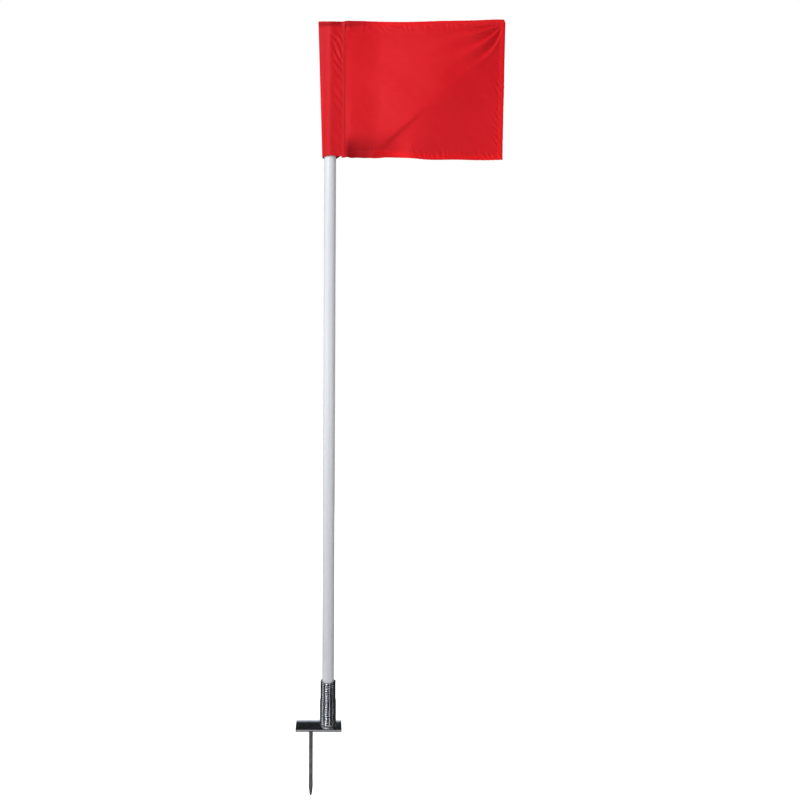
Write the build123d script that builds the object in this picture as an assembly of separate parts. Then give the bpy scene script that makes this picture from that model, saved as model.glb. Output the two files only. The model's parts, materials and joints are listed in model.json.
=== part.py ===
from build123d import *
import os

# Spring-base corner flag: a sewn flag on a plastic pole, held by a close-wound coil spring on a
# flat steel foot with a spike for the ground. Millimetres, +Z up along the pole, +X towards the
# flag's fly edge. The origin is on the spike's axis, in the plane of the plate's underside, which
# is ground level once the spike is pushed in.

# foot
POLE_X = 36.0  # from the spike's axis to the pole's axis
PLATE_LENGTH, PLATE_WIDTH, PLATE_THICK = 97.0, 35.0, 5.0
PLATE_LEFT = -32.0  # the plate's free end, beyond the spike
PLATE_EDGE = 0.6  # broken edge all round
SPIKE_DIAMETER, SPIKE_LENGTH, POINT_LENGTH, POINT_FLAT = 9.0, 146.0, 21.0, 1.0
TENON_DIAMETER, TENON_LENGTH = 7.0, 2.5  # the spike's upper end, let into the plate's underside
SPIKE_WELD_DIAMETER, SPIKE_WELD_DEPTH = 13.0, 2.0  # weld in a countersink, flush with the underside

# spring and the pipe stub that it stands on
STUB_DIAMETER, STUB_WALL, STUB_TOP = 26.9, 2.6, 24.0
STUB_WELD_LEG = 2.9
WIRE, PITCH = 3.4, 3.7
WIDE_INNER, GRIP_INNER = 27.3, 25.4  # inner diameters round the stub and round the pole
SPRING_BOTTOM = 8.0
TURNS = {"foot": 7, "middle": 6, "grip": 11}

# pole
POLE_DIAMETER, POLE_WALL = 25.0, 2.0
POLE_BOTTOM, POLE_TOP = 69.0, 1474.0
CAP_HEAD, CAP_ROUND, PLUG_DEPTH = 7.0, 6.5, 22.0
PLUG_FLANGE = 2.0

# flag
FLAG_TOP, FLAG_BOTTOM = 1500.0, 1211.0  # at the hoist side
FLY_TOP_X, FLY_TOP_Z = POLE_X + 374.0, 1503.5
FLY_BOTTOM_X, FLY_BOTTOM_Z = POLE_X + 369.5, 1205.5
SEAM_X = POLE_X + 24.0  # the seam that closes the sleeve beside the pole
CLOTH, HEM_THICK, HEM = 0.8, 2.0, 12.0
SLEEVE_BACK_TOP, SLEEVE_BACK_BOTTOM = POLE_X - 24.0, POLE_X - 16.8
SLEEVE_GAP = 0.8  # round the pole, inside the sleeve
SLEEVE_NOSE = 3.2  # inner radius of the fold at the sleeve's back edge
ROOF_START, ROOF_END = 1480.0, 1492.0  # where the sleeve's faces begin to close and where they meet
SEAM_BAND = 4.0  # the sleeve's two leaves lie together this far behind the seam
THREAD, THREAD_WIDTH, ROW_GAP, HEM_ROW = 0.35, 0.8, 4.0, 1.5


def disc(diameter, x=0.0, z=0.0):
    return Pos(x, 0, z) * Circle(diameter / 2)


def rod(diameter, bottom, top, x=0.0):
    return extrude(disc(diameter, x, bottom), top - bottom)


def weld_ring(inner_diameter, outer_diameter, height, x=0.0, z=0.0):
    """Weld with a triangular section, flat on its base at height z, round a round bar."""
    inner, outer = inner_diameter / 2, outer_diameter / 2
    section = Polyline((inner, 0), (outer, 0), (inner, height), close=True)
    return Pos(x, 0, z) * revolve(Plane.XZ * make_face(section), Axis.Z)


def spike_weld():
    return weld_ring(TENON_DIAMETER, SPIKE_WELD_DIAMETER, SPIKE_WELD_DEPTH)


def stub_weld():
    return weld_ring(STUB_DIAMETER, STUB_DIAMETER + 2 * STUB_WELD_LEG, STUB_WELD_LEG, POLE_X, PLATE_THICK)


def foot_plate():
    plate = Box(PLATE_LENGTH, PLATE_WIDTH, PLATE_THICK, align=(Align.MIN, Align.CENTER, Align.MIN))
    plate = Pos(PLATE_LEFT, 0, 0) * chamfer(plate.edges(), PLATE_EDGE)
    return plate - rod(TENON_DIAMETER, 0, TENON_LENGTH) - spike_weld()


def ground_spike():
    """A bar with a turned-down end in the plate, a straight shank from z = 0 and a conical point."""
    shank, tenon = SPIKE_DIAMETER / 2, TENON_DIAMETER / 2
    outline = Polyline(
        (0, TENON_LENGTH),
        (tenon, TENON_LENGTH),
        (tenon, 0),
        (shank, 0),
        (shank, POINT_LENGTH - SPIKE_LENGTH),
        (POINT_FLAT / 2, -SPIKE_LENGTH),
        (0, -SPIKE_LENGTH),
        close=True,
    )
    return revolve(Plane.XZ * make_face(outline), Axis.Z)


def spring_stub():
    pipe = rod(STUB_DIAMETER, PLATE_THICK, STUB_TOP, POLE_X)
    return pipe - rod(STUB_DIAMETER - 2 * STUB_WALL, PLATE_THICK, STUB_TOP, POLE_X)


def spring_turns(inner, bottom, turns):
    """Whole turns of wire. Every run starts and ends on the pole's +X side, so the runs join."""
    path = Helix(PITCH, PITCH * turns, (inner + WIRE) / 2, center=(POLE_X, 0, bottom))
    return sweep(Plane(path @ 0, z_dir=path % 0) * Circle(WIRE / 2), path=path, is_frenet=True)


def spring():
    """The one spring as its three runs of turns, which bend against each other."""
    runs, centre = {}, SPRING_BOTTOM + WIRE / 2
    for name, turns in TURNS.items():
        inner = GRIP_INNER if name == "grip" else WIDE_INNER
        runs[f"spring_{name}_turns"] = spring_turns(inner, centre, turns)
        centre += PITCH * turns
    return runs


def pole_tube():
    tube = rod(POLE_DIAMETER, POLE_BOTTOM, POLE_TOP, POLE_X)
    return tube - rod(POLE_DIAMETER - 2 * POLE_WALL, POLE_BOTTOM, POLE_TOP, POLE_X)


def tube_plug(end_z, head, way):
    """A plug in the tube's end at end_z, with a head as wide as the tube. way is 1 if it goes up in."""
    low, middle, high = sorted((end_z - way * head, end_z, end_z + way * PLUG_DEPTH))
    flange, core = (low, middle), (middle, high)
    if way < 0:
        flange, core = core, flange
    return rod(POLE_DIAMETER, *flange, POLE_X) + rod(POLE_DIAMETER - 2 * POLE_WALL, *core, POLE_X)


def pole_top_cap():
    cap = tube_plug(POLE_TOP, CAP_HEAD, -1)
    return fillet(cap.edges().sort_by(Axis.Z)[-1], CAP_ROUND)


def pole_end_plug():
    return tube_plug(POLE_BOTTOM, PLUG_FLANGE, 1)


def sleeve_outline(back_x, inner, z):
    """The sleeve's section: a fold at the back edge, the round of the pole, and flat to the seam."""
    grow = 0.0 if inner else CLOTH
    nose = SLEEVE_NOSE + grow
    pole_round = POLE_DIAMETER / 2 + SLEEVE_GAP + grow
    seam_end = SEAM_X - SEAM_BAND if inner else SEAM_X + CLOTH
    circles = [
        Pos(back_x + SLEEVE_NOSE + CLOTH, 0) * Circle(nose),
        Pos(POLE_X, 0) * Circle(pole_round),
        Pos(seam_end, 0) * Circle(0.2 + grow),
    ]
    return Pos(0, 0, z) * make_hull([edge for circle in circles for edge in circle.edges()])


def sleeve_top_outline(inner, z):
    """The closed top of the sleeve: two leaves sewn together over the pole."""
    left = SLEEVE_BACK_TOP + (CLOTH if inner else 0.0)
    right = SEAM_X - SEAM_BAND if inner else SEAM_X + CLOTH
    half = 0.4 if inner else HEM_THICK / 2
    return Pos((left + right) / 2, 0, z) * SlotOverall(right - left, 2 * half)


def sleeve_form(inner):
    """The sleeve's outer form or its hollow, from its mouth to where its faces meet over the pole."""
    mouth = sleeve_outline(SLEEVE_BACK_BOTTOM, inner, FLAG_BOTTOM)
    shoulder = sleeve_outline(SLEEVE_BACK_TOP, inner, ROOF_START)
    meeting = sleeve_top_outline(inner, ROOF_END - (CLOTH if inner else 0.0))
    return loft([mouth, shoulder], ruled=True) + loft([shoulder, meeting])


def flag_sleeve():
    top_band = extrude(sleeve_top_outline(False, ROOF_END), FLAG_TOP - ROOF_END)
    sleeve = sleeve_form(False) + top_band - sleeve_form(True)
    beyond_seam = Pos(SEAM_X, 0, FLAG_BOTTOM) * Box(
        HEM, PLATE_WIDTH, FLAG_TOP - FLAG_BOTTOM, align=(Align.MIN, Align.CENTER, Align.MIN)
    )
    return sleeve - beyond_seam


def panel_corners(inset):
    """The panel's corners in X and Z, moved in from the top, bottom and fly edges."""
    return [
        (SEAM_X, FLAG_BOTTOM + inset),
        (FLY_BOTTOM_X - inset, FLY_BOTTOM_Z + inset),
        (FLY_TOP_X - inset, FLY_TOP_Z - inset),
        (SEAM_X, FLAG_TOP - inset),
    ]


def upright(face, thick):
    """A face drawn in X and Z, given its thickness evenly to both sides of the flag's plane."""
    return extrude(Plane.XZ * face, thick / 2, both=True)


def flag_panel():
    whole = make_face(Polyline(*panel_corners(0), close=True))
    middle = make_face(Polyline(*panel_corners(HEM), close=True))
    return upright(whole, CLOTH) + upright(whole - middle, HEM_THICK)


def thread_row(points, cloth_half):
    """One row of sewing on both faces of the cloth, along the points in X and Z."""
    strip = extrude(Plane.XZ * trace(Polyline(*points), line_width=THREAD_WIDTH), THREAD)
    return [Pos(0, -cloth_half, 0) * strip, Pos(0, cloth_half + THREAD, 0) * strip]


def hem_stitching():
    """One row round the top, fly and bottom hems, just inside their inner edge."""
    return thread_row(panel_corners(HEM - HEM_ROW), HEM_THICK / 2)


def seam_stitching():
    """Two rows that close the sleeve. They lie on the panel's edge, next to the sleeve."""
    bottom, top = FLAG_BOTTOM + HEM + HEM_ROW, FLAG_TOP - HEM - HEM_ROW
    first = SEAM_X + THREAD_WIDTH
    rows = [thread_row([(x, bottom), (x, top)], CLOTH / 2) for x in (first, first + ROW_GAP)]
    return rows[0] + rows[1]


def sleeve_top_stitching():
    """One row through the sleeve's closed top."""
    z = (ROOF_END + FLAG_TOP) / 2
    return thread_row([(SLEEVE_BACK_TOP + HEM_ROW, z), (SEAM_X - HEM_ROW, z)], HEM_THICK / 2)


def nodes():
    pieces = {
        "foot_plate": foot_plate(),
        "ground_spike": ground_spike(),
        "spike_weld": spike_weld(),
        "spring_stub": spring_stub(),
        "stub_weld": stub_weld(),
        "pole_tube": pole_tube(),
        "pole_top_cap": pole_top_cap(),
        "pole_end_plug": pole_end_plug(),
        "flag_sleeve": flag_sleeve(),
        "flag_panel": flag_panel(),
        "hem_stitching": Compound(children=hem_stitching()),
        "seam_stitching": Compound(children=seam_stitching()),
        "sleeve_top_stitching": Compound(children=sleeve_top_stitching()),
    }
    return pieces | spring()


os.makedirs("parts", exist_ok=True)
for node, shape in nodes().items():
    export_step(shape, f"parts/{node}.step")
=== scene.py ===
import json
import math

import bpy
import numpy as np
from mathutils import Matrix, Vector


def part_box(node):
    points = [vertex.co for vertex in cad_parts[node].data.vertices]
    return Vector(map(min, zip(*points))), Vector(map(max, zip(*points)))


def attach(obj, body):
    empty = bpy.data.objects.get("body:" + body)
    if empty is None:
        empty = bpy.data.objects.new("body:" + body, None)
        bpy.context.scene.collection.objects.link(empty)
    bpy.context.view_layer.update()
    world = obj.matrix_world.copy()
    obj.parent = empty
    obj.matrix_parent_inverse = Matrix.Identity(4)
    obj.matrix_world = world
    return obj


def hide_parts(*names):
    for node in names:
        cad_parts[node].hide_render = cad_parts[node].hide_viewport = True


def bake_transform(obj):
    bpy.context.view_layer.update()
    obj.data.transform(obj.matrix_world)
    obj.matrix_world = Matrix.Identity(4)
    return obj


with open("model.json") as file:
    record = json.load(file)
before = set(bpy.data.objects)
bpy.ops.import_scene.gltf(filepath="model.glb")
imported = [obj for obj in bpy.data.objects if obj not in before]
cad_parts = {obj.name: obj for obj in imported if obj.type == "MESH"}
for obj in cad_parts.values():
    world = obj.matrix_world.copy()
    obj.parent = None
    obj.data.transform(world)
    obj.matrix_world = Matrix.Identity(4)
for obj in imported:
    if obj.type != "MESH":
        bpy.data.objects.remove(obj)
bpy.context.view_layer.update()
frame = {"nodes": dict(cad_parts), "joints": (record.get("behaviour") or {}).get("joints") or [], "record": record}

# Sizes are in metres, in the CAD model's frame: +Z up, +X towards the flag's fly edge, -Y towards
# the camera. What the CAD model holds is read from its boxes.
pole_low, pole_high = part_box("pole_tube")
spike_low, spike_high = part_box("ground_spike")
foot_turns_low, foot_turns_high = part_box("spring_foot_turns")
grip_turns_low, grip_turns_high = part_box("spring_grip_turns")
panel_low, panel_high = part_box("flag_panel")
sleeve_low, sleeve_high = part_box("flag_sleeve")

POLE_X = (pole_low.x + pole_high.x) / 2
POLE_R = (pole_high.x - pole_low.x) / 2


# ---------------------------------------------------------------- small tools

def smooth(value, low, high):
    """0 below low, 1 above high, with a smooth step between them."""
    t = np.clip((value - low) / (high - low), 0, 1)
    return t * t * (3 - 2 * t)


def bump(value, centre, width):
    return np.exp(-(((value - centre) / width) ** 2))


def ripples(x, z, length, seed, waves=7):
    """Smooth seeded noise of about unit size, whose waves are about that length."""
    rng = np.random.default_rng(seed)
    total = 0.0
    for _ in range(waves):
        angle, phase = rng.uniform(0, 2 * math.pi, 2)
        k = 2 * math.pi / (length * rng.uniform(0.7, 1.5))
        total = total + np.sin(k * (x * math.cos(angle) + z * math.sin(angle)) + phase)
    return total / math.sqrt(waves / 2)


def mesh_object(name, points, faces, material):
    mesh = bpy.data.meshes.new(name)
    mesh.from_pydata([tuple(p) for p in points], [], [tuple(f) for f in faces])
    mesh.validate()
    mesh.polygons.foreach_set("use_smooth", [True] * len(mesh.polygons))
    mesh.materials.append(material)
    mesh.update()
    thing = bpy.data.objects.new(name, mesh)
    bpy.context.scene.collection.objects.link(thing)
    return thing


def grid_faces(rows, columns, first=0, flip=False):
    """Quads over rows x columns of points, which are numbered row by row from first."""
    faces = []
    for r in range(rows - 1):
        for c in range(columns - 1):
            a = first + r * columns + c
            quad = (a, a + 1, a + columns + 1, a + columns)
            faces.append(quad[::-1] if flip else quad)
    return faces


def ring_faces(rings, sides):
    """Quads round a tube of rings, with a fan of its own at each end."""
    faces = []
    for r in range(rings - 1):
        for s in range(sides):
            a, b = r * sides + s, r * sides + (s + 1) % sides
            faces.append((a, b, b + sides, a + sides))
    start, end = rings * sides, rings * sides + 1
    last = (rings - 1) * sides
    for s in range(sides):
        t = (s + 1) % sides
        faces.append((start, t, s))
        faces.append((end, last + s, last + t))
    return faces


# ---------------------------------------------------------------- materials

class Nodes:
    """Builds one material's node tree round its Principled shader."""

    def __init__(self, name):
        self.material = bpy.data.materials.new(name)
        self.material.use_nodes = True
        self.tree = self.material.node_tree
        self.shader = self.tree.nodes["Principled BSDF"]
        self.place = self.add("ShaderNodeTexCoord").outputs["Object"]

    def add(self, kind, **settings):
        node = self.tree.nodes.new(kind)
        for key, value in settings.items():
            setattr(node, key, value)
        return node

    def link(self, output, target):
        self.tree.links.new(output, target)

    def put(self, target, value):
        """Links an output, or sets a value, on a socket."""
        if isinstance(value, bpy.types.NodeSocket):
            self.link(value, target)
        else:
            target.default_value = value

    def stretched(self, scale):
        node = self.add("ShaderNodeMapping")
        node.inputs["Scale"].default_value = scale
        self.link(self.place, node.inputs["Vector"])
        return node.outputs["Vector"]

    def noise(self, scale, detail=2.0, vector=None, roughness=0.5):
        node = self.add("ShaderNodeTexNoise")
        self.link(vector or self.place, node.inputs["Vector"])
        node.inputs["Scale"].default_value = scale
        node.inputs["Detail"].default_value = detail
        node.inputs["Roughness"].default_value = roughness
        return node.outputs["Fac"]

    def wave(self, scale, direction, distortion=0.0):
        node = self.add("ShaderNodeTexWave", bands_direction=direction)
        self.link(self.place, node.inputs["Vector"])
        node.inputs["Scale"].default_value = scale
        node.inputs["Distortion"].default_value = distortion
        return node.outputs["Fac"]

    def axis(self, name, kind="Object"):
        """One part of the place on the object, or of its surface's normal."""
        node = self.add("ShaderNodeSeparateXYZ")
        self.link(self.add("ShaderNodeTexCoord").outputs[kind], node.inputs["Vector"])
        return node.outputs[name]

    def attribute(self, name):
        return self.add("ShaderNodeAttribute", attribute_name=name).outputs["Fac"]

    def math(self, operation, a, b=0.0):
        node = self.add("ShaderNodeMath", operation=operation)
        self.put(node.inputs[0], a)
        self.put(node.inputs[1], b)
        return node.outputs[0]

    def between(self, value, low, high, out_low, out_high):
        """value from low..high, moved to out_low..out_high and held there."""
        node = self.add("ShaderNodeMapRange")
        self.put(node.inputs["Value"], value)
        ends = {"From Min": low, "From Max": high, "To Min": out_low, "To Max": out_high}
        for key, number in ends.items():
            node.inputs[key].default_value = number
        return node.outputs["Result"]

    def colours(self, value, *stops):
        """A colour ramp through (place, red, green, blue) stops."""
        ramp = self.add("ShaderNodeValToRGB")
        elements = ramp.color_ramp.elements
        while len(elements) < len(stops):
            elements.new(0.5)
        for element, (place, *rgb) in zip(elements, stops):
            element.position = place
            element.color = (*rgb, 1)
        self.put(ramp.inputs["Fac"], value)
        return ramp.outputs["Color"]

    def mixed(self, share, a, b):
        node = self.add("ShaderNodeMix", data_type="RGBA")
        self.put(node.inputs["Factor"], share)
        for socket, value in ((node.inputs[6], a), (node.inputs[7], b)):
            self.put(socket, (*value, 1) if isinstance(value, tuple) else value)
        return node.outputs[2]

    def bumped(self, *layers):
        """Bump from (height, distance in metres) layers."""
        normal = None
        for height, distance in layers:
            node = self.add("ShaderNodeBump")
            node.inputs["Distance"].default_value = distance
            self.link(height, node.inputs["Height"])
            if normal:
                self.link(normal, node.inputs["Normal"])
            normal = node.outputs["Normal"]
        self.link(normal, self.shader.inputs["Normal"])

    def finish(self, colour, roughness, **fixed):
        self.put(self.shader.inputs["Base Color"], colour)
        self.put(self.shader.inputs["Roughness"], roughness)
        for key, value in fixed.items():
            self.shader.inputs[key.replace("_", " ")].default_value = value
        return self.material


def flag_cloth():
    """Polyester: fine plain weave, a soft sheen, slightly uneven dye.

    Its colour is fuller where the doubled_and_painted_light attribute is above 0: the folded
    cloth's own deeper colour, which also paints light on the hems. Below 0 it is painted shade,
    darker. On both sides of 0 it is also more matt.
    """
    m = Nodes("flag_cloth")
    threads_per_metre, texture_rate = 2400, 20  # the rate is the wave texture's own, in radians
    weave = threads_per_metre / texture_rate * 2 * math.pi / 2  # two threads make one wave
    warp = m.wave(weave, "X", 0.4)
    weft = m.wave(weave, "Z", 0.4)
    dye = m.noise(9.0, 4.0)
    slub = m.noise(90.0, 3.0, m.stretched((1, 1, 6)))
    base = m.colours(dye, (0.35, 0.74, 0.007, 0.014), (0.65, 0.79, 0.010, 0.019))
    single = m.mixed(m.between(slub, 0.35, 0.7, 0.0, 0.2), base, (0.70, 0.004, 0.009))
    doubled_and_painted_light = m.attribute("doubled_and_painted_light")
    # the folded cloth's fuller colour, which also paints light on the hems
    fuller_and_painted_light = m.mixed(m.between(doubled_and_painted_light, 0.0, 1.0, 0.0, 0.8), single, (0.90, 0.007, 0.012))
    # painted shade: a dark red where the attribute is below 0
    cloth = m.mixed(m.between(doubled_and_painted_light, -1.0, 0.0, 0.62, 0.0), fuller_and_painted_light, (0.36, 0.004, 0.008))
    matt = m.between(m.math("ABSOLUTE", doubled_and_painted_light), 0.1, 0.7, 0.0, 0.14)
    m.bumped((warp, 0.00005), (weft, 0.00005), (slub, 0.0001))
    return m.finish(
        cloth, m.math("ADD", matt, m.between(dye, 0.3, 0.7, 0.46, 0.54)),
        Specular_IOR_Level=0.17, Sheen_Weight=0.02, Sheen_Roughness=0.4,
    )


def sewing_thread():
    m = Nodes("sewing_thread")
    twist = m.wave(900.0, "DIAGONAL", 0.5)
    colour = m.mixed(twist, (0.68, 0.007, 0.013), (0.82, 0.013, 0.020))
    m.bumped((twist, 0.00004))
    return m.finish(colour, m.between(twist, 0.0, 1.0, 0.45, 0.6), Sheen_Weight=0.05)


def white_plastic():
    """Extruded tube: faint lines along its length, handling scuffs, soil low down, and painted shade that greys it
    towards the bottom.
    """
    m = Nodes("white_plastic")
    lines = m.noise(60.0, 2.0, m.stretched((14, 14, 0.05)))
    scuffs = m.noise(38.0, 6.0, m.stretched((1, 1, 0.35)), 0.65)
    height = m.axis("Z")
    low_down = m.between(height, 0.10, 0.42, 1.0, 0.0)
    soil = m.math("MULTIPLY", low_down, m.between(scuffs, 0.42, 0.66, 0.0, 1.0))
    clean = m.colours(lines, (0.3, 0.74, 0.76, 0.80), (0.7, 0.80, 0.82, 0.86))
    worn = m.mixed(m.between(scuffs, 0.56, 0.72, 0.0, 0.22), clean, (0.62, 0.63, 0.64))
    # painted shade: greyer below about half the pole's height
    painted_low_shade = m.mixed(m.between(height, 0.35, 0.75, 0.28, 0.0), worn, (0.55, 0.56, 0.58))
    colour = m.mixed(m.math("MULTIPLY", soil, 0.25), painted_low_shade, (0.42, 0.40, 0.36))
    m.bumped((lines, 0.00008), (scuffs, 0.00005))
    return m.finish(colour, m.between(scuffs, 0.35, 0.7, 0.26, 0.42), Specular_IOR_Level=0.5)


def cap_plastic():
    m = Nodes("cap_plastic")
    grain = m.noise(700.0, 3.0)
    cloud = m.noise(30.0, 3.0)
    colour = m.colours(cloud, (0.3, 0.62, 0.63, 0.65), (0.7, 0.72, 0.73, 0.74))
    m.bumped((grain, 0.00006))
    return m.finish(colour, m.between(cloud, 0.3, 0.7, 0.5, 0.62))


def plated_steel():
    """Polished plating on a flat bar: drawn lines along it, pinprick marks, duller sawn edges with painted shade
    on their lower part.
    """
    m = Nodes("plated_steel")
    drawn = m.noise(120.0, 4.0, m.stretched((0.06, 6, 6)))
    cloud = m.noise(26.0, 4.0)
    pits = m.noise(420.0, 2.0)
    sawn = m.noise(900.0, 2.0, m.stretched((1, 1, 0.1)))
    level = m.math("ABSOLUTE", m.axis("Z", "Normal"))
    edge = m.between(level, 0.25, 0.6, 1.0, 0.0)
    colour = m.colours(cloud, (0.3, 0.26, 0.28, 0.32), (0.7, 0.38, 0.40, 0.44))
    marked = m.mixed(m.between(pits, 0.62, 0.75, 0.0, 0.35), colour, (0.14, 0.14, 0.15))
    bright = m.colours(sawn, (0.3, 0.58, 0.59, 0.61), (0.7, 0.74, 0.75, 0.77))
    # painted shade: the sawn sides are near black up to about 2 mm, and pale above
    sides = m.mixed(m.between(m.axis("Z"), 0.0018, 0.0034, 1.0, 0.0), bright, (0.07, 0.07, 0.08))
    whole = m.mixed(edge, marked, sides)
    m.link(m.between(edge, 0.0, 1.0, 1.0, 0.35), m.shader.inputs["Metallic"])
    m.bumped((drawn, 0.0000003), (pits, 0.0000004))
    polish = m.between(drawn, 0.3, 0.7, 0.014, 0.034)
    return m.finish(whole, m.math("ADD", polish, m.math("MULTIPLY", edge, 0.42)))


def spring_wire():
    """Plated spring wire, with painted shade that makes it near black in the grooves between its turns."""
    m = Nodes("spring_wire")
    crest_for_painted_shade = m.attribute("crest_for_painted_shade")
    cloud = m.noise(45.0, 4.0)
    drawn = m.noise(260.0, 3.0)
    metal = m.colours(cloud, (0.3, 0.46, 0.49, 0.54), (0.7, 0.62, 0.65, 0.70))
    # painted shade: near black wherever the wire faces away from the outside
    colour = m.mixed(m.between(crest_for_painted_shade, 0.15, 0.75, 0.9, 0.0), metal, (0.035, 0.038, 0.045))
    m.bumped((drawn, 0.00003))
    return m.finish(colour, m.between(drawn, 0.3, 0.7, 0.14, 0.26), Metallic=1.0)


def spike_steel():
    """Bright bar dulled by soil: lines along it, scratches from the ground, darker at the point."""
    m = Nodes("spike_steel")
    drawn = m.noise(150.0, 4.0, m.stretched((8, 8, 0.12)))
    dull = m.noise(60.0, 5.0)
    low = m.between(m.axis("Z"), spike_low.z, spike_low.z + 0.06, 0.7, 0.0)
    metal = m.colours(dull, (0.3, 0.44, 0.445, 0.44), (0.7, 0.66, 0.665, 0.65))
    soiled = m.math("MULTIPLY", low, m.between(drawn, 0.4, 0.6, 0.2, 1.0))
    colour = m.mixed(soiled, metal, (0.22, 0.21, 0.19))
    m.bumped((drawn, 0.00008), (dull, 0.00006))
    return m.finish(colour, m.between(dull, 0.3, 0.7, 0.40, 0.56), Metallic=0.85)


def weld_metal():
    m = Nodes("weld_metal")
    cloud = m.noise(180.0, 4.0)
    colour = m.colours(cloud, (0.3, 0.22, 0.23, 0.26), (0.7, 0.46, 0.47, 0.50))
    m.bumped((cloud, 0.0001))
    return m.finish(colour, m.between(cloud, 0.3, 0.7, 0.25, 0.45), Metallic=1.0)


SLOTS = {
    "flag_cloth": flag_cloth(),
    "sewing_thread": sewing_thread(),
    "white_plastic": white_plastic(),
    "cap_plastic": cap_plastic(),
    "plated_steel": plated_steel(),
    "spring_wire": spring_wire(),
    "spike_steel": spike_steel(),
    "weld_metal": weld_metal(),
}


def finish_cad_nodes():
    """Every CAD node gets the material of its slot, including those that a finer piece replaces."""
    for entry in frame["record"]["subparts"]:
        node = frame["nodes"][entry["node"]]
        node.data.materials.clear()
        node.data.materials.append(SLOTS[entry["material_slot"]])


# ---------------------------------------------------------------- camera, lights and floor

def make_camera():
    """A camera in front of the pole, tipped to one side so that the pole leans to the right."""
    distance, height, tip = 1.087, 0.695, 0.23
    data = bpy.data.cameras.new("camera")
    data.lens, data.sensor_width = 23.0, 36.0
    data.shift_x = 0.0885
    camera = bpy.data.objects.new("camera", data)
    camera.location = (POLE_X, -distance, height)
    camera.rotation_euler = (math.radians(90), math.radians(-tip), 0)
    bpy.context.scene.collection.objects.link(camera)
    bpy.context.scene.camera = camera


def area_light(name, place, target, width, height, power):
    data = bpy.data.lights.new(name, "AREA")
    data.shape, data.size, data.size_y = "RECTANGLE", width, height
    data.energy = power
    light = bpy.data.objects.new(name, data)
    light.location = place
    light.rotation_euler = (Vector(target) - Vector(place)).to_track_quat("-Z", "Y").to_euler()
    light.visible_camera = False
    bpy.context.scene.collection.objects.link(light)


def make_lights():
    """Soft boxes round the pole, by bearing from the camera's side (degrees, minus is left)."""

    def soft_box(name, bearing, distance, height, target, width, tall, power):
        turn = math.radians(bearing)
        place = (POLE_X + distance * math.sin(turn), -distance * math.cos(turn), height)
        area_light(name, place, (POLE_X, 0, target), width, tall, power)

    soft_box("key", -38, 1.7, 2.6, 1.1, 1.0, 0.9, 31)
    soft_box("low_key", -36, 1.9, 0.9, 0.9, 0.5, 0.7, 6)
    soft_box("left_box", -88, 1.8, 0.9, 0.9, 0.8, 1.2, 8)
    soft_box("front_box", 18, 1.9, 0.9, 0.9, 0.4, 0.8, 6)
    soft_box("right_box", 66, 1.9, 0.7, 0.7, 0.4, 0.5, 2)
    # its upper edge shows as a pale strip along the far side of the foot plate
    soft_box("back_box", 180, 3.0, 1.1, 1.1, 2.4, 1.566, 24)


def make_world():
    """White behind the object; a soft grey room for the light, and a darker one for reflections."""
    world = bpy.data.worlds.new("studio")
    world.use_nodes = True
    tree = world.node_tree
    tree.nodes.clear()
    path = tree.nodes.new("ShaderNodeLightPath")

    def room(strength):
        node = tree.nodes.new("ShaderNodeBackground")
        node.inputs["Color"].default_value = (1, 1, 1, 1)
        node.inputs["Strength"].default_value = strength
        return node.outputs[0]

    def choose(share, a, b):
        node = tree.nodes.new("ShaderNodeMixShader")
        tree.links.new(path.outputs[share], node.inputs[0])
        tree.links.new(a, node.inputs[1])
        tree.links.new(b, node.inputs[2])
        return node.outputs[0]

    inner = choose("Is Glossy Ray", room(0.20), room(0.035))
    outer = choose("Is Camera Ray", inner, room(1.0))
    tree.links.new(outer, tree.nodes.new("ShaderNodeOutputWorld").inputs["Surface"])
    bpy.context.scene.world = world
    bpy.context.scene.view_settings.view_transform = "Standard"


def make_floor():
    """A white floor, which glows only for the camera, so that it stays pale without glare."""
    m = Nodes("floor")
    cloud = m.noise(0.6, 2.0)
    m.shader.inputs["Emission Color"].default_value = (1, 1, 1, 1)
    for_camera = m.add("ShaderNodeLightPath").outputs["Is Camera Ray"]
    m.link(m.between(for_camera, 0, 1, 0.0, 0.85), m.shader.inputs["Emission Strength"])
    pale, rough = (0.9, 0.9, 0.9, 1), m.between(cloud, 0, 1, 0.85, 0.95)
    material = m.finish(pale, rough, Specular_IOR_Level=0.0)
    side, z = 40.0, spike_low.z - 0.001
    corners = [(-side, -side, z), (side, -side, z), (side, side, z), (-side, side, z)]
    floor = mesh_object("floor", corners, [(0, 1, 2, 3)], material)
    floor.visible_glossy = False


# ---------------------------------------------------------------- spring

WIRE_R = 0.0017
PITCH = 0.0037
SPRING_START = foot_turns_low.z + WIRE_R
WIDE_R = (foot_turns_high.x - foot_turns_low.x) / 2 - WIRE_R
GRIP_R = (grip_turns_high.x - grip_turns_low.x) / 2 - WIRE_R
STEP_Z = grip_turns_low.z + WIRE_R  # where the spring turns narrower
SPRING_END = grip_turns_high.z - WIRE_R
BENDS = [joint for joint in frame["joints"] if "bend" in joint["name"]]
PIVOTS = {joint["name"]: Vector(joint["pos_m"]).z for joint in BENDS}  # each hinge's height


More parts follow.
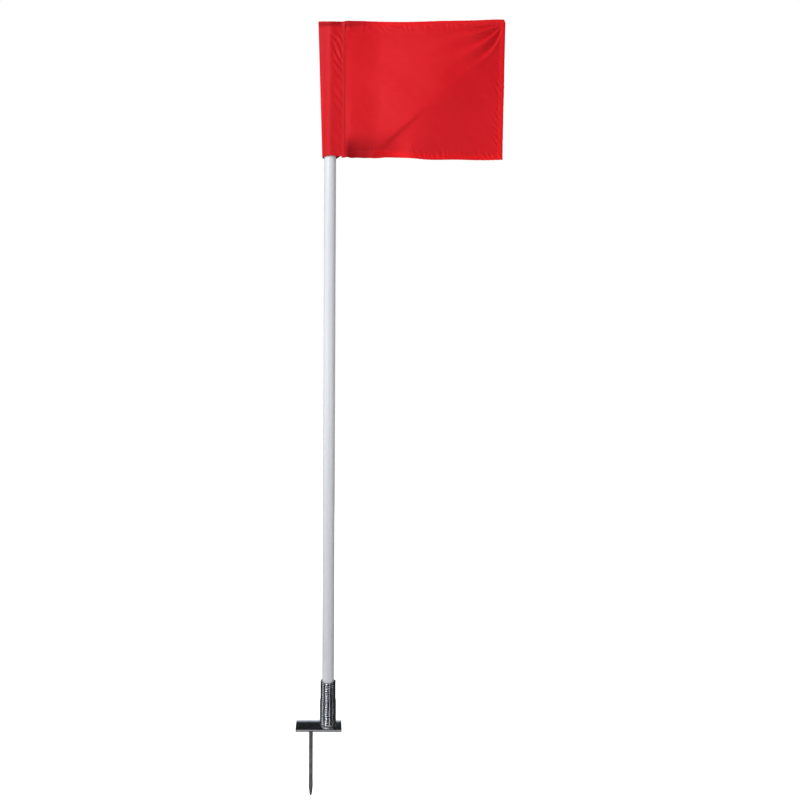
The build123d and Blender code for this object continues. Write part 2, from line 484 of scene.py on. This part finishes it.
def wire_run(name, from_z, to_z):
    """The spring's wire between two heights, with a flat cap at each end."""
    sides, per_turn, visual_r = 18, 52, WIRE_R + 0.00006
    steps = max(2, round((to_z - from_z) / PITCH * per_turn))
    z = np.linspace(from_z, to_z, steps + 1)
    angle = 2 * math.pi * (z - SPRING_START) / PITCH
    radius = WIDE_R + (GRIP_R - WIDE_R) * smooth(z, STEP_Z - PITCH / 2, STEP_Z + PITCH)
    centre = np.stack([POLE_X + radius * np.cos(angle), radius * np.sin(angle), z], 1)
    out = np.stack([np.cos(angle), np.sin(angle), 0 * z], 1)
    along = np.gradient(centre, axis=0)
    along /= np.linalg.norm(along, axis=1)[:, None]
    up = np.cross(out, along)
    turn = np.linspace(0, 2 * math.pi, sides, endpoint=False)
    ring = (
        centre[:, None]
        + visual_r * np.cos(turn)[None, :, None] * out[:, None]
        + visual_r * np.sin(turn)[None, :, None] * up[:, None]
    )
    points = np.vstack([ring.reshape(-1, 3), centre[:1], centre[-1:]])
    thing = mesh_object(name, points, ring_faces(len(z), sides), SLOTS["spring_wire"])
    # how far each point faces outwards, which the material uses for painted shade in the grooves
    crest_for_painted_shade = np.tile(np.cos(turn), len(z))
    attribute = thing.data.attributes.new("crest_for_painted_shade", "FLOAT", "POINT")
    attribute.data.foreach_set("value", np.append(crest_for_painted_shade, [0.5, 0.5]).astype(np.float32))
    return thing


def make_spring():
    """Two runs of the one wire, which meet halfway between the two hinges' heights."""
    low, high = PIVOTS["spring_side_bend"], PIVOTS["spring_fore_bend"]
    middle = (low + high) / 2
    lower = wire_run("spring_lower_run", SPRING_START, middle)
    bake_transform(lower)
    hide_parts("spring_foot_turns", "spring_middle_turns")
    upper = wire_run("spring_upper_run", middle, SPRING_END)
    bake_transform(upper)
    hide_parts("spring_grip_turns")


# ---------------------------------------------------------------- flag

HOIST_TOP, HOIST_BOTTOM = sleeve_high.z, sleeve_low.z
SEAM_X = panel_low.x
LEAF = 0.0065  # the sleeve's edge lies this far over the panel
LEAF_POINTS = 8  # of the sleeve's grid, across each of its two leaves
LEAF_LIFT = 0.00055  # how far off the panel's middle surface a leaf lies
HOIST_REACH = 0.085  # from the seam, where the sewn edge stops pulling on the panel
HEM, CLOTH, HEM_EXTRA = 0.012, 0.00028, 0.00055
STITCH_ROW = HEM - 0.0015
FOLDED_AWAY = 0.0055  # how much nearer the folds bring the fly edge
FLY_SLANT = 0.0026  # how much further out the fly edge is at its lower end
WIDTH, HEIGHT = panel_high.x - SEAM_X - FOLDED_AWAY, HOIST_TOP - HOIST_BOTTOM
RIDGE_DEPTH, CREASE_DEPTH, POCKET_DEPTH, FAN_SLOPE = 0.016, 0.0038, 0.032, 1.35
FAN_FROM_FLY, FAN_FROM_TOP = 0.0073, 0.0125  # where the fan's folds start, in from the corner
FAN_ZERO, FAN_PERIOD = 46.5, 30  # degrees: where the wave of folds crosses zero, and its period
SAG = 0.74  # the top edge hangs this much lower for each bit that it stands forward
SEAM_DEPTH = -0.009  # the panel is sewn on a little nearer the front than the pole's axis


def pocket_depth(x):
    """How far the lower edge hangs back beside the sleeve, at a distance from the seam."""
    return POCKET_DEPTH * smooth(x, 0.004, 0.036) * (1 - smooth(x, 0.090, 0.150))


def edges_at(u):
    """The bottom and top edge's height at a share u of the panel's width."""
    sewn_end = 1 - smooth(u * WIDTH, LEAF, HOIST_REACH)
    bottom = HOIST_BOTTOM - 0.0040 * bump(u, 0.52, 0.20) + 0.0020 * smooth(u, 0.5, 0.75)
    bottom = bottom - 0.0035 * sewn_end
    # it rises where it hangs back beside the sleeve
    bottom = bottom - 0.0055 * bump(u, 0.18, 0.15) + 0.42 * pocket_depth(u * WIDTH)
    top = HOIST_TOP + 0.0012 * bump(u, 0.27, 0.15) + 0.0030 * smooth(u, 0.80, 1.0)
    return bottom, top + SAG * SEAM_DEPTH * sewn_end


def ridge_height(x):
    """Height over the lower edge of the fold that climbs from beside the sleeve to the fly."""
    return 0.021 + 0.72 * (x - 0.08) + 0.8 * (x - 0.08) ** 2


def broad_folds(x, z):
    """Depth of the cloth's large folds. Minus is towards the camera."""
    x, z = x - SEAM_X, z - HOIST_BOTTOM
    below = 0.755 * (ridge_height(x) - z)
    # the cloth leans forward to the ridge and falls away on both sides of it
    forward = RIDGE_DEPTH * np.sin(math.pi * np.clip(x / (WIDTH + 0.02), 0, 1))
    rounded = np.sqrt(below ** 2 + 0.010 ** 2) - 0.010
    depth = -forward * (1 - rounded / np.where(below < 0, 0.16, 0.08))
    # its fly edge is twisted, with the top corner forward and the lower one back
    depth = depth + (x / WIDTH) ** 2 * (0.0105 - 0.0170 * z / HEIGHT)
    # a sharp step along the ridge's lower part, which eases off further down
    along = smooth(x, 0.045, 0.085) * (1 - smooth(x, 0.12, 0.20))
    crease = CREASE_DEPTH * along * smooth(below, -0.003, 0.007)
    depth = depth + crease * (1 - smooth(below, 0.008, 0.06))
    depth = depth + 2 * pocket_depth(x) * (1 - smooth(z, -0.050, 0.055))
    # curved folds that fan out of the hems' top corner, which carries the panel's weight
    left, down = WIDTH - FAN_FROM_FLY - x, HEIGHT - FAN_FROM_TOP - z
    reach, turn = np.hypot(left, down), np.degrees(np.arctan2(down, left))
    turn = turn * (1 + 5 * (reach - 0.03))
    size = FAN_SLOPE / 12 * np.minimum(reach, 0.05) * np.exp(-((reach / 0.085) ** 2))
    window = smooth(turn, 0, 12) * (1 - smooth(turn, 68, 88))
    wave = np.radians((turn - FAN_ZERO) / FAN_PERIOD * 360)
    return depth - size * window * (np.sin(wave) + 0.1 * np.sin(2 * wave))


def fine_puckers(x, z):
    """Depth from the hems' lean, the puckers of their sewing and the cloth's small unevenness."""
    u, v = (x - SEAM_X) / WIDTH, (z - HOIST_BOTTOM) / HEIGHT
    bottom, top = edges_at(u)
    from_fly = SEAM_X + WIDTH - x
    from_low, from_top = z - bottom, top - z
    wander = ripples(x, z, 0.05, 5)
    # the top hem leans back and the others forward
    fly_side = smooth(u, 0.15, 0.65)
    lean = 0.0042 * fly_side + 0.0018 * smooth(u, 0.6, 0.8) - 0.0030 * (1 - smooth(u, 0.08, 0.26))
    depth = lean * (1 - smooth(from_top, 0.0, HEM)) - 0.0010 * bump(from_top, HEM, 0.006) * fly_side
    depth = depth - 0.0016 * (1 - smooth(from_low, 0.0, HEM))
    depth = depth - 0.0008 * (1 - smooth(from_fly, 0.0, HEM))
    depth = depth + 0.0016 * (1 - smooth(from_fly, -0.002, 0.005))
    # puckers
    uneven = 0.55 + 0.45 * np.clip(ripples(x, z, 0.04, 6), -1, 1)
    most = 0.25 + 0.75 * smooth(v, 0.02, 0.15) * (1 - smooth(v, 0.60, 0.8))
    fly = bump(from_fly, 0.008, 0.009) * most
    wave = np.sin(2 * math.pi * (z - 1.1 * from_fly) / 0.0145 + 1.6 * wander)
    depth = depth + 0.0017 * uneven * fly * wave
    low = bump(from_low, 0.009, 0.010) * (0.35 + 0.65 * smooth(u, 0.18, 0.40))
    wave = np.sin(2 * math.pi * (x + 0.3 * from_low) / 0.0100 + 1.6 * wander)
    depth = depth + 0.0011 * uneven * low * wave
    high = bump(from_top, 0.013, 0.010)
    wave = np.sin(2 * math.pi * (x - 0.5 * from_top) / 0.017 + 2.2 * wander)
    depth = depth + 0.0004 * high * wave
    # long wrinkles just under the top hem
    window = smooth(u, 0.2, 0.4) * (1 - smooth(u, 0.72, 0.9))
    depth = depth - 0.0014 * bump(from_top, 0.024 + 0.012 * (u - 0.4), 0.0065) * window
    return depth + 0.0003 * ripples(x, z, 0.075, 11) + 0.00008 * ripples(x, z, 0.022, 12)


def panel_depth(x, z):
    """The panel's middle surface. It lies flat where the sleeve's leaves are sewn to it."""
    free = smooth(x, SEAM_X + 0.5 * LEAF, SEAM_X + LEAF + 0.014)
    sewn = smooth(x, SEAM_X, SEAM_X + 2 * LEAF)
    hoist = SEAM_DEPTH * (1 - smooth(x, SEAM_X + LEAF, SEAM_X + HOIST_REACH))
    return hoist + free * broad_folds(x, z) + sewn * fine_puckers(x, z)


def grid_lines(length, fine_start, fine_end, coarse=0.0024, fine=0.0009, band=0.022):
    """Places from 0 to length, closer together in the bands where a hem is."""
    steps, at = [0.0], 0.0
    while at < length:
        near = (fine_start and at < band) or (fine_end and at > length - band)
        at += fine if near else coarse
        steps.append(min(at, length))
    return np.array(steps) / length


def panel_point(x, z):
    """The middle surface over a place on the panel."""
    slant = FLY_SLANT * (x - SEAM_X) / WIDTH * (HOIST_TOP - z) / HEIGHT
    return np.stack([x + slant, panel_depth(x, z), z], -1)


def grid_normals(points):
    """Unit normals, towards the camera, of a grid of points whose rows run upwards."""
    across, up = np.gradient(points, axis=1), np.gradient(points, axis=0)
    normal = np.cross(across, up)
    return normal / np.linalg.norm(normal, axis=2)[..., None]


def sheet_solid(name, middle, normals, front, back, doubled_and_painted_light, material):
    """A closed sheet round a grid of middle points, with a front and a back thickness at each.

    doubled_and_painted_light is 1 where the cloth lies double, and down to -1 where shade is painted on it.
    """
    rows, columns = middle.shape[:2]
    faces = grid_faces(rows, columns)
    faces += grid_faces(rows, columns, rows * columns, flip=True)
    rim = [(0, c) for c in range(columns)] + [(r, columns - 1) for r in range(1, rows)]
    rim += [(rows - 1, c) for c in range(columns - 2, -1, -1)]
    rim += [(r, 0) for r in range(rows - 2, 0, -1)]
    order = [r * columns + c for r, c in rim]
    for a, b in zip(order, order[1:] + order[:1]):
        faces.append((b, a, a + rows * columns, b + rows * columns))
    points = np.concatenate([
        (middle + normals * front[..., None]).reshape(-1, 3),
        (middle - normals * back[..., None]).reshape(-1, 3),
    ])
    thing = mesh_object(name, points, faces, material)
    attribute = thing.data.attributes.new("doubled_and_painted_light", "FLOAT", "POINT")
    attribute.data.foreach_set("value", np.tile(doubled_and_painted_light.reshape(-1), 2).astype(np.float32))
    return thing


def hem_profile(distance):
    """What a hem does at a distance in from its edge.

    How far the cloth is folded double there, the share of its thickness that is left where the
    edge is rounded off, and the groove that the sewing pulls.
    """
    folded = 1 - smooth(distance, HEM - 0.0006, HEM + 0.0004)
    rounded = 0.35 + 0.65 * smooth(distance, 0.0, 0.0012)
    return folded, rounded, bump(distance, STITCH_ROW, 0.0009)


def painted_top_shade_band(t):
    """1 in the band along the flag's top where shade is painted, and 0 below it, at a share of its height."""
    return smooth(t * HEIGHT, HEIGHT - HEM - 0.003, HEIGHT - HEM + 0.003)


def make_panel():
    s = grid_lines(WIDTH, False, True)
    t = grid_lines(HEIGHT, True, True)
    S, T = np.meshgrid(s, t)
    bottom, top = edges_at(S)
    middle = panel_point(SEAM_X + S * WIDTH, bottom + T * (top - bottom))
    from_edge = np.minimum(np.minimum((1 - S) * WIDTH, T * HEIGHT), (1 - T) * HEIGHT)
    folded, rounded, groove = hem_profile(from_edge)
    front = (CLOTH / 2 + 0.00012 * folded) * rounded - 0.00022 * groove + 0.00004
    back = (CLOTH / 2 + HEM_EXTRA * folded) * rounded - 0.00028 * groove + 0.00004
    # painted shade along the top hem, fading out towards the fly
    painted_top_shade = painted_top_shade_band(T) * (1 - smooth(S, 0.03, 0.30))
    # painted shade where the panel hangs back beside the sleeve, darkest near its lower edge
    x, z = S * WIDTH, middle[..., 2] - HOIST_BOTTOM
    painted_pocket_shade = smooth(x, -0.002, 0.004) * (1 - smooth(x, 0.045, 0.085))
    painted_pocket_shade = painted_pocket_shade * (0.8 * (1 - smooth(z, 0.012, 0.045)) + 0.2 * (1 - smooth(z, 0.03, 0.10)))
    doubled_and_painted_light = folded * (1 - painted_top_shade) * (1 - painted_pocket_shade) - 0.75 * painted_top_shade - 0.85 * painted_pocket_shade
    normals = grid_normals(middle)
    cloth = sheet_solid(
        "flag_panel_cloth", middle, normals, front, back, doubled_and_painted_light, SLOTS["flag_cloth"],
    )
    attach(cloth, "flag")
    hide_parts("flag_panel")
    return cloth


# ---------------------------------------------------------------- sleeve

SLEEVE_BACK_TOP, SLEEVE_BACK_BOTTOM = sleeve_low.x - 0.0020, sleeve_low.x + 0.0072
# between these heights the back face comes over the pole's cap, to meet the front one
CLOSING, CLOSED = HOIST_TOP - 0.010, HOIST_TOP - 0.0035
SLEEVE_POINTS, ARC_POINTS = 56, 24  # across half of the section, and along each of its arcs


def tangent_angle(a, b):
    """Bearing where an outside tangent leaves the circles a and b of (x, forward, radius)."""
    across, forward = b[0] - a[0], b[1] - a[1]
    return math.acos((a[2] - b[2]) / math.hypot(across, forward)) + math.atan2(forward, across)


def half_section(back_x, nose_r, round_r, count, side):
    """Half of the sleeve's section, from the fold at its back edge to the seam.

    side is 1 for the front half and -1 for the back one.
    """
    nose, pole = (back_x + nose_r, 0.0, nose_r), (POLE_X, 0.0, round_r)
    circles = [nose, pole, (SEAM_X, -SEAM_DEPTH * side, 0.0005)]
    turns = [tangent_angle(a, b) for a, b in zip(circles, circles[1:])]
    path = []
    for (x, forward, r), start, end in zip(circles, [math.pi, *turns], [*turns, turns[-1]]):
        for a in np.linspace(start, end, ARC_POINTS):
            path.append((x + r * math.cos(a), -forward - r * math.sin(a)))
    path = np.array(path)
    keep = np.append(True, np.linalg.norm(np.diff(path, axis=0), axis=1) > 1e-7)
    path = path[keep]
    run = np.append(0, np.cumsum(np.linalg.norm(np.diff(path, axis=0), axis=1)))
    at = np.linspace(0, run[-1], count)
    return np.interp(at, run, path[:, 0]), np.interp(at, run, path[:, 1])


def sleeve_wrinkles(x, z, seed):
    """Puckers of the loose cloth between the pole and the seam, strongest high up."""
    loose = smooth(x, POLE_X + 0.006, POLE_X + 0.013)
    loose = loose * (1 - smooth(x, SEAM_X - 0.002, SEAM_X + 0.004))
    wander = ripples(x, z, 0.07, seed)
    most = bump(z, HOIST_TOP - 0.090, 0.030) + 0.3 * bump(z, HOIST_TOP - 0.17, 0.04) + 0.12
    folds = np.sin(2 * math.pi * (z + 0.8 * x) / 0.024 + 1.3 * wander)
    # longer drags from the closed top, down to the seam
    drag = bump(z, HOIST_TOP - 0.042, 0.020) * smooth(x, POLE_X - 0.008, POLE_X + 0.006)
    drag = 0.0008 * drag * np.sin(2 * math.pi * (z + 0.7 * x) / 0.019 + 1.2 * wander)
    behind = 1 - smooth(x, POLE_X - 0.013, POLE_X - 0.008)
    back = 0.0004 * behind * np.sin(2 * math.pi * (z - 0.8 * x) / 0.034 + 1.5 * wander)
    return 0.0011 * loose * most * folds + drag + back + 0.00015 * ripples(x, z, 0.02, seed + 1)


def sleeve_rows(count):
    """Middle points of the whole sleeve: the front half from seam to fold, then the back half."""
    t = grid_lines(HEIGHT, True, True, coarse=0.0026)
    z = HOIST_BOTTOM + t * HEIGHT
    rows = []
    for height in z:
        up = (height - HOIST_BOTTOM) / HEIGHT
        back_x = SLEEVE_BACK_BOTTOM + (SLEEVE_BACK_TOP - SLEEVE_BACK_BOTTOM) * up
        nose_r = 0.0062 - 0.0042 * float(smooth(up, 0.0, 0.5))
        round_r = POLE_R + 0.0011 + 0.0010 * (1 - float(smooth(up, 0.0, 0.25)))
        flat = float(smooth(height, CLOSING, CLOSED))
        # the top edge sags where the pole pushes it forward, and its hem leans forward
        sag = SAG * float(smooth(height, HOIST_TOP - 0.06, HOIST_TOP))
        lean = 0.0040 * float(smooth(height, HOIST_TOP - HEM, HOIST_TOP))
        low_edge = 0.0028 * float(1 - smooth(height, HOIST_BOTTOM, HOIST_BOTTOM + 0.04))
        leaf = np.linspace(0, LEAF, LEAF_POINTS + 1)[1:]
        front_x, front_y = half_section(back_x, nose_r, round_r, count, 1)
        halves = []
        for side, seed in ((1, 31), (-1, 47)):
            x, y = half_section(back_x, nose_r, round_r, count, side)
            front = np.interp(x, front_x, front_y)
            over_pole = np.clip(-front / POLE_R, 0, 1)
            face = y if side == 1 else -y * (1 - flat) + (front + 0.0007) * flat
            wave = sleeve_wrinkles(x, height, seed) * (1 - flat if side == -1 else 1)
            leaning = lean * (1 - smooth(x, POLE_X + 0.01, SEAM_X))
            face = face + wave * smooth(x, back_x, back_x + 0.004) - leaning
            drop = sag * (leaning - front) + (low_edge * over_pole if side == 1 else 0)
            leaf_y = panel_depth(SEAM_X + leaf, height + 0 * leaf) - side * LEAF_LIFT
            halves.append(np.stack([
                np.append(x, SEAM_X + leaf), np.append(face, leaf_y),
                np.append(height - drop, np.full(LEAF_POINTS, height - drop[-1])),
            ], 1))
        rows.append(np.concatenate([halves[0][::-1], halves[1][1:]]))
    return np.array(rows), t


def make_sleeve():
    middle, t = sleeve_rows(SLEEVE_POINTS)
    normals = -grid_normals(middle)
    from_end = np.minimum(t, 1 - t)[:, None] * HEIGHT + 0 * middle[..., 0]
    folded, rounded, groove = hem_profile(from_end)
    outside = (CLOTH / 2 + 0.0001 * folded) * rounded - 0.00015 * groove + 0.00004
    inside = CLOTH / 2 + 0.0001 * folded
    x, t = middle[..., 0] - POLE_X, t[:, None]
    # painted shade round the pole, most at the back edge, except low on its fold, and over the leaf beside the
    # seam
    shade = (0.26 + 0.36 * (1 - smooth(x, -0.013, 0.006))) * (1 - smooth(x, 0.008, 0.022))
    shade = shade + 0.40 * smooth(x, 0.016, 0.028)
    shade = shade * (1 - (1 - smooth(t, 0.30, 0.75)) * (1 - smooth(x, -0.017, -0.013)))
    # painted shade along the sleeve's closed top, a little less from the pole's front to the seam
    painted_top_shade = painted_top_shade_band(t)
    doubled_and_painted_light = -shade * (1 - painted_top_shade) - painted_top_shade * (1.0 - 0.35 * smooth(x, -0.010, 0.002))
    cloth = sheet_solid(
        "flag_sleeve_cloth", middle, normals, outside, inside, doubled_and_painted_light, SLOTS["flag_cloth"],
    )
    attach(cloth, "flag")
    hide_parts("flag_sleeve")
    return cloth, middle, normals


# ---------------------------------------------------------------- sewing

THREAD_R, STITCH, STITCH_STEP = 0.00026, 0.0026, 0.0034


def stitches(points, normals):
    """Points and faces of a row of stitches along a line, each dipping into the cloth."""
    run = np.append(0, np.cumsum(np.linalg.norm(np.diff(points, axis=0), axis=1)))
    rings, sides = 7, 6
    along = np.linspace(-0.5, 0.5, rings)
    thick = THREAD_R * (0.55 + 0.45 * np.cos(along * math.pi)) * np.where(abs(along) > 0.45, 0.6, 1)
    sunk = THREAD_R * (2 * along) ** 4 * 1.6
    turn = np.linspace(0, 2 * math.pi, sides, endpoint=False)
    all_points, faces = [], []
    for centre in np.arange(STITCH, run[-1] - STITCH / 2, STITCH_STEP):
        at = centre + along * STITCH
        line = np.stack([np.interp(at, run, points[:, k]) for k in range(3)], 1)
        up = np.stack([np.interp(at, run, normals[:, k]) for k in range(3)], 1)
        up /= np.linalg.norm(up, axis=1)[:, None]
        forward = line[-1] - line[0]
        side = np.cross(forward / np.linalg.norm(forward), up)
        line = line + up * (0.4 * THREAD_R - sunk)[:, None]
        ring = (
            line[:, None]
            + (thick[:, None] * np.cos(turn))[..., None] * side[:, None]
            + (thick[:, None] * np.sin(turn))[..., None] * up[:, None]
        )
        first = len(all_points) * (rings * sides + 2)
        all_points.append(np.vstack([ring.reshape(-1, 3), line[:1], line[-1:]]))
        faces += [tuple(first + i for i in face) for face in ring_faces(rings, sides)]
    return np.vstack(all_points), faces


def sewing(name, lines, node):
    """One piece from several rows of stitches, standing for a CAD node's rows."""
    points, faces, count = [], [], 0
    for line, normals in lines:
        more, its_faces = stitches(line, normals)
        points.append(more)
        faces += [tuple(count + i for i in face) for face in its_faces]
        count += len(more)
    thing = mesh_object(name, np.vstack(points), faces, SLOTS["sewing_thread"])
    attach(thing, "flag")
    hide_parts(node)
    return thing


def on_flag(x, z, side, lift):
    """Points and outward normals over the panel's front (side 1) or back (side -1)."""
    step = 0.0004
    depth = panel_depth(x, z)
    slope_x = (panel_depth(x + step, z) - depth) / step
    slope_z = (panel_depth(x, z + step) - depth) / step
    normal = np.stack([slope_x, -np.ones_like(x), slope_z], 1) * side
    normal /= np.linalg.norm(normal, axis=1)[:, None]
    return panel_point(x, z) + normal * lift, normal


def hem_line():
    """The row of sewing round the panel's top, fly and bottom hems, in X and Z."""
    count = 500
    x = np.linspace(SEAM_X + LEAF, SEAM_X + WIDTH - STITCH_ROW, count)
    bottom, top = edges_at((x - SEAM_X) / WIDTH)
    fly_z = np.linspace(top[-1] - STITCH_ROW, bottom[-1] + STITCH_ROW, count)[1:-1]
    line_x = np.concatenate([x, np.full_like(fly_z, x[-1]), x[::-1]])
    line_z = np.concatenate([top - STITCH_ROW, fly_z, (bottom + STITCH_ROW)[::-1]])
    return line_x, line_z


def make_hem_stitching(sleeve_middle, sleeve_normals):
    x, z = hem_line()
    lines = [
        on_flag(x, z, 1, CLOTH / 2 + 0.00010),
        on_flag(x, z, -1, CLOTH / 2 + HEM_EXTRA - 0.00005),
    ]
    # the sleeve's lower hem, round the outside
    row = sleeve_row(sleeve_middle, HOIST_BOTTOM + STITCH_ROW)
    lift = sleeve_normals[row] * (CLOTH / 2 + 0.00008)
    lines.append((sleeve_middle[row] + lift, sleeve_normals[row]))
    return sewing("hem_stitches", lines, "hem_stitching")


def make_seam_stitching():
    bottom, top = edges_at(LEAF / WIDTH)
    z = np.linspace(bottom + 0.003, top - 0.002, 600)
    lines = []
    for back in (0.0012, 0.0048):
        x = np.full_like(z, SEAM_X + LEAF - back)
        lines += [on_flag(x, z, side, LEAF_LIFT + CLOTH / 2 + 0.00004) for side in (1, -1)]
    return sewing("seam_stitches", lines, "seam_stitching")


def sleeve_row(sleeve_middle, height):
    """The row of the sleeve's grid nearest a height, which is that of its end at the panel."""
    return int(np.argmin(abs(sleeve_middle[:, 0, 2] - height)))


def make_sleeve_top_stitching(sleeve_middle, sleeve_normals):
    """A row through the sleeve's closed top, on the front and on the back."""
    row = sleeve_row(sleeve_middle, (CLOSED + HOIST_TOP) / 2)
    line = sleeve_middle[row] + sleeve_normals[row] * (CLOTH / 2 + 0.00006)
    half = len(line) // 2
    margin = 5  # points of the grid left free on each side of the fold at the back edge
    front, back = slice(LEAF_POINTS, half - margin), slice(half + margin, -LEAF_POINTS)
    fronts = (line[front], sleeve_normals[row][front])
    backs = (line[back], sleeve_normals[row][back])
    return sewing("sleeve_top_stitches", [fronts, backs], "sleeve_top_stitching")


# ---------------------------------------------------------------- foot

def lathe(name, profile, axis_x, material, sides=96, wobble=None):
    """A closed round piece about a vertical axis, through (radius, z) points from bottom to top."""
    turn = np.linspace(0, 2 * math.pi, sides, endpoint=False)
    rings = []
    for radius, z in profile:
        r = np.full(sides, radius)
        if wobble:
            r = r + wobble(turn, z)
        rings.append(np.stack([axis_x + r * np.cos(turn), r * np.sin(turn), np.full(sides, z)], 1))
    ends = [(axis_x, 0, profile[0][1]), (axis_x, 0, profile[-1][1])]
    return mesh_object(name, np.vstack([*rings, ends]), ring_faces(len(profile), sides), material)


def make_spike():
    """A hammered round bar, a little thicker where its point was forged."""
    radius, low = (spike_high.x - spike_low.x) / 2, spike_low.z
    point = 0.021
    profile = [(0.0004, low), (0.0012, low + 0.0006), (0.0021, low + 0.003)]
    for share in np.linspace(0.2, 1, 12):
        profile.append((radius * (0.40 + 0.60 * share ** 0.8), low + point * share))
    for z in np.linspace(low + point + 0.001, -0.0002, 140):
        swell = 0.00030 * bump(z, low + point + 0.004, 0.008)
        profile.append((radius - 0.00034 + swell, z))
    profile.append((radius - 0.0006, 0.0))

    def hammered(turn, z):
        flats = 0.00007 * np.cos(4 * turn + 40 * z) * float(1 - smooth(z, low + 0.03, low + 0.07))
        return flats + 0.00003 * np.sin(3 * turn + 310 * z) + 0.00002 * np.sin(5 * turn - 470 * z)

    spike = lathe("ground_spike_forged", profile, 0.0, SLOTS["spike_steel"], 64, hammered)
    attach(spike, "foot")
    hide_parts("ground_spike")


def weld_bead(name, inner_r, outer_r, z_wide, z_narrow, axis_x, node, seed):
    """A ring of weld whose surface is the overlapping ripples of one pass round the joint."""
    sides, across = 240, 14
    turn = np.linspace(0, 2 * math.pi, sides, endpoint=False)
    rng = np.random.default_rng(seed)
    phase = rng.uniform(0, 2 * math.pi, 3)
    uneven = 0.05 * np.sin(2 * turn + phase[0]) + 0.04 * np.sin(5 * turn + phase[1])
    ripple_length = 0.0024
    count = round(2 * math.pi * outer_r / ripple_length)
    points = []
    for share in np.linspace(0, 1, across):
        lag = 0.5 * math.sin(math.pi * share)
        ripple = 0.07 * abs(np.sin(count / 2 * turn + lag + phase[2]))
        round_out = math.sin(math.pi * share) * (0.30 + uneven + ripple)
        r = outer_r + (inner_r - outer_r) * share + (outer_r - inner_r) * 0.35 * round_out
        z = z_wide + (z_narrow - z_wide) * (share + 0.35 * round_out)
        points.append(np.stack([axis_x + r * np.cos(turn), r * np.sin(turn), z], 1))
    inner_x, inner_y = axis_x + inner_r * np.cos(turn), inner_r * np.sin(turn)
    points.append(np.stack([inner_x, inner_y, z_wide + 0 * turn], 1))
    rings = across + 1
    faces = []
    for r in range(rings):
        for i in range(sides):
            a, b = r * sides + i, r * sides + (i + 1) % sides
            c, d = ((r + 1) % rings) * sides + (i + 1) % sides, ((r + 1) % rings) * sides + i
            faces.append((a, b, c, d))
    bead = mesh_object(name, np.vstack(points), faces, SLOTS["weld_metal"])
    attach(bead, "foot")
    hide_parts(node)


def make_welds():
    low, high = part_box("stub_weld")
    stub_low, stub_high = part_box("spring_stub")
    stub_r = (stub_high.x - stub_low.x) / 2
    outer_r = (high.x - low.x) / 2 - 0.0002
    weld_bead("stub_weld_bead", stub_r, outer_r, low.z, high.z - 0.0006, POLE_X, "stub_weld", 3)
    low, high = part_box("spike_weld")
    inner_r, outer_r = (spike_high.x - spike_low.x) / 2 - 0.0003, (high.x - low.x) / 2
    weld_bead("spike_weld_bead", inner_r, outer_r, 0.0002, -0.0012, 0.0, "spike_weld", 4)


finish_cad_nodes()
make_camera()
make_world()
make_lights()
make_floor()
make_spring()
make_spike()
make_welds()
panel = make_panel()
sleeve, sleeve_middle, sleeve_normals = make_sleeve()
hem_rows = make_hem_stitching(sleeve_middle, sleeve_normals)
seam_rows = make_seam_stitching()
top_row = make_sleeve_top_stitching(sleeve_middle, sleeve_normals)
